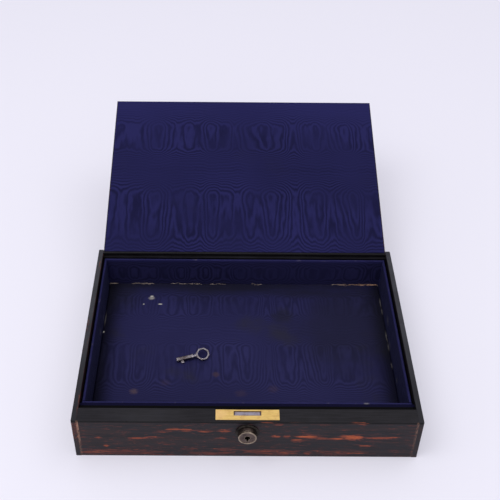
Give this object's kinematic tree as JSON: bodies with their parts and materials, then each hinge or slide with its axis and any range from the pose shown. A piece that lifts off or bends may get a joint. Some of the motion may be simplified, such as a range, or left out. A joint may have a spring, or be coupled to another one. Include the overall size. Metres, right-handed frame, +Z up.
{
  "type": "vanity box",
  "caption": "Shallow wooden vanity box lined with watered silk, its lid flush and hung on hidden pins, with a radial slider lock let into the thick front and a loose hollow key.",
  "frame": {"origin": "middle of the underside, on the surface that the box stands on", "axes": "+X to the right seen from the front, +Y from the lock towards the hinge, +Z up"},
  "size_m": [0.35, 0.4906, 0.1254],
  "materials": {
    "streaked_wood": "waxed, near black with orange and red streaks",
    "ebonised_wood": "satin black stain",
    "blue_silk": "watered silk, ribbed",
    "base_cloth": "flat woollen cloth",
    "polished_brass": "bright, fine brushed",
    "aged_brass": "dark patina, worn bright at the rim",
    "steel": "grey, lightly aged"
  },
  "bodies": {
    "box": {"front_board": "ebonised_wood", "front_facing": "streaked_wood", "left_side_board": "ebonised_wood", "right_side_board": "ebonised_wood", "back_board": "ebonised_wood", "base_board": "ebonised_wood", "base_baize": "base_cloth", "front_ledge": "ebonised_wood", "liner_front": "blue_silk", "liner_back": "blue_silk", "liner_left": "blue_silk", "liner_right": "blue_silk", "floor_panel": "blue_silk", "hinge_pins": "steel", "lock_plate": "polished_brass", "lock_screws": "polished_brass", "lock_case": "polished_brass", "case_screws": "polished_brass", "lock_barrel": "aged_brass", "barrel_screws": "polished_brass", "nozzle_ring": "aged_brass", "locking_plate": "steel"},
    "lid": {"lid_board": "streaked_wood", "lid_lining": "blue_silk"},
    "core": {"lock_core": "polished_brass", "drill_pin": "steel", "slider_spring": "steel"},
    "sliders": {"key_sliders": "steel"},
    "bolt": {"lock_bolt": "steel"},
    "loose_key": {"key": "steel"}
  },
  "joints": [
    {"name": "lid_hinge", "type": "hinge", "parent": "box", "child": "lid", "pos_m": [0, 0.126, 0.0534], "axis": [-1, 0, 0], "range_deg": [-163, 0]},
    {"name": "core_turn", "type": "hinge", "parent": "box", "child": "core", "pos_m": [0, -0.126, 0.0401], "axis": [0, 1, 0], "range_deg": [0, 180]},
    {"name": "bolt_throw", "type": "slide", "parent": "box", "child": "bolt", "axis": [0, 0, 1], "range_m": [0, 0.007]},
    {"name": "sliders_push", "type": "slide", "parent": "core", "child": "sliders", "axis": [0, 1, 0], "range_m": [0, 0.002], "stiffness_N_per_m": 300, "deforming": ["slider_spring"]},
    {"name": "key_lift", "type": "slide", "parent": "box", "child": "loose_key", "axis": [0, 0, 1], "range_m": [0, 0.08]}
  ],
  "couplings": [
    {"joint": "core_turn", "follows": "bolt_throw", "rad_per_m": 448.79}
  ]
}
